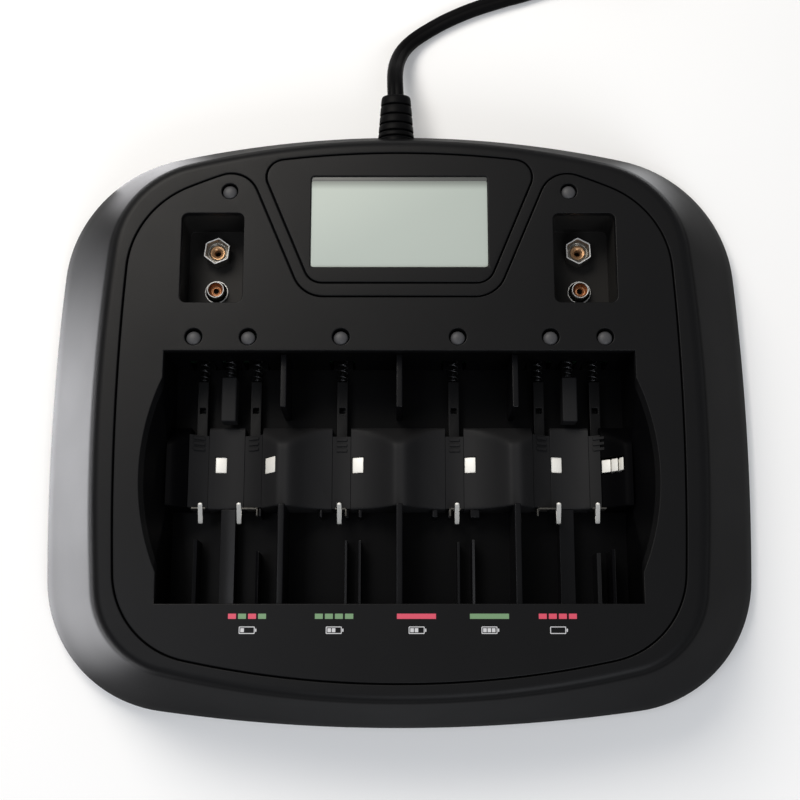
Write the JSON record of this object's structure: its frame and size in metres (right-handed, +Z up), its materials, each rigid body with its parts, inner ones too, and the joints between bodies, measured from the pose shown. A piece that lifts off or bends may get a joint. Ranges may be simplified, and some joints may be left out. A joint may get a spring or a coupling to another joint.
{
  "type": "battery charger",
  "caption": "Low mains charger with a four-trough cell bay, sprung sliding contacts, snap terminals in side recesses, a display window and a two-core cord with plug.",
  "frame": {"origin": "centre of the body's footprint, on the surface that the feet stand on", "axes": "+X to the right across the bay, +Y from the front edge to the cord, +Z up out of the deck"},
  "size_m": [0.2239, 0.3324, 0.0382],
  "materials": {
    "body_plastic": "fine satin texture",
    "deck_plastic": "fine spark texture",
    "tray_plastic": "satin",
    "slider_plastic": "satin",
    "contact_metal": "nickel plated",
    "spring_steel": "bright wire",
    "snap_metal": "nickel plated",
    "circuit_board": "solder mask",
    "lcd": "glass front",
    "backlight": "diffuse white",
    "lens_plastic": "frosted clear",
    "transformer_tape": "wound tape",
    "capacitor_sleeve": "shrink sleeve",
    "screw_steel": "zinc plated",
    "foot_rubber": "soft",
    "cord_sheath": "satin",
    "plug_plastic": "satin",
    "pin_metal": "nickel plated"
  },
  "bodies": {
    "housing": {"upper_shell": "body_plastic", "lower_shell": "body_plastic", "deck_panel": "deck_plastic", "display_cover": "deck_plastic", "lcd_panel": "lcd", "lcd_backlight": "backlight", "display_board": "circuit_board", "indicator_board": "circuit_board", "main_board": "circuit_board", "transformer": "transformer_tape", "filter_capacitor": "capacitor_sleeve", "cell_tray": "tray_plastic", "front_contacts": "contact_metal", "sense_pads": "contact_metal", "spring_1": "spring_steel", "spring_2": "spring_steel", "spring_3": "spring_steel", "spring_4": "spring_steel", "spring_5": "spring_steel", "spring_6": "spring_steel", "plunger_spring_left": "spring_steel", "plunger_spring_right": "spring_steel", "snap_hex_left": "snap_metal", "snap_hex_right": "snap_metal", "snap_round_left": "snap_metal", "snap_round_right": "snap_metal", "snap_board_left": "circuit_board", "snap_board_right": "circuit_board", "light_pipe_1": "lens_plastic", "light_pipe_2": "lens_plastic", "light_pipe_3": "lens_plastic", "light_pipe_4": "lens_plastic", "light_pipe_5": "lens_plastic", "light_pipe_6": "lens_plastic", "light_pipe_7": "lens_plastic", "light_pipe_8": "lens_plastic", "feet": "foot_rubber", "screws": "screw_steel", "strain_relief": "cord_sheath", "cord": "cord_sheath", "cord_coil": "cord_sheath", "cord_end": "cord_sheath", "plug": "plug_plastic", "plug_pins": "pin_metal"},
    "slider_1_body": {"slider_1": "slider_plastic", "contact_1": "contact_metal"},
    "slider_2_body": {"slider_2": "slider_plastic", "contact_2": "contact_metal"},
    "slider_3_body": {"slider_3": "slider_plastic", "contact_3": "contact_metal"},
    "slider_4_body": {"slider_4": "slider_plastic", "contact_4": "contact_metal"},
    "slider_5_body": {"slider_5": "slider_plastic", "contact_5": "contact_metal"},
    "slider_6_body": {"slider_6": "slider_plastic", "contact_6": "contact_metal"},
    "plunger_left_body": {"plunger_left": "slider_plastic"},
    "plunger_right_body": {"plunger_right": "slider_plastic"}
  },
  "joints": [
    {"name": "slider_1_slide", "type": "slide", "parent": "housing", "child": "slider_1_body", "axis": [0, 1, 0], "range_m": [0, 0.036], "stiffness_N_per_m": 100, "springref_m": -0.008, "deforming": ["spring_1"]},
    {"name": "slider_2_slide", "type": "slide", "parent": "housing", "child": "slider_2_body", "axis": [0, 1, 0], "range_m": [0, 0.036], "stiffness_N_per_m": 100, "springref_m": -0.008, "deforming": ["spring_2"]},
    {"name": "slider_3_slide", "type": "slide", "parent": "housing", "child": "slider_3_body", "axis": [0, 1, 0], "range_m": [0, 0.036], "stiffness_N_per_m": 100, "springref_m": -0.008, "deforming": ["spring_3"]},
    {"name": "slider_4_slide", "type": "slide", "parent": "housing", "child": "slider_4_body", "axis": [0, 1, 0], "range_m": [0, 0.036], "stiffness_N_per_m": 100, "springref_m": -0.008, "deforming": ["spring_4"]},
    {"name": "slider_5_slide", "type": "slide", "parent": "housing", "child": "slider_5_body", "axis": [0, 1, 0], "range_m": [0, 0.036], "stiffness_N_per_m": 100, "springref_m": -0.008, "deforming": ["spring_5"]},
    {"name": "slider_6_slide", "type": "slide", "parent": "housing", "child": "slider_6_body", "axis": [0, 1, 0], "range_m": [0, 0.036], "stiffness_N_per_m": 100, "springref_m": -0.008, "deforming": ["spring_6"]},
    {"name": "plunger_left_slide", "type": "slide", "parent": "housing", "child": "plunger_left_body", "axis": [0, 1, 0], "range_m": [0, 0.005], "stiffness_N_per_m": 200, "springref_m": -0.003, "deforming": ["plunger_spring_left"]},
    {"name": "plunger_right_slide", "type": "slide", "parent": "housing", "child": "plunger_right_body", "axis": [0, 1, 0], "range_m": [0, 0.005], "stiffness_N_per_m": 200, "springref_m": -0.003, "deforming": ["plunger_spring_right"]}
  ]
}
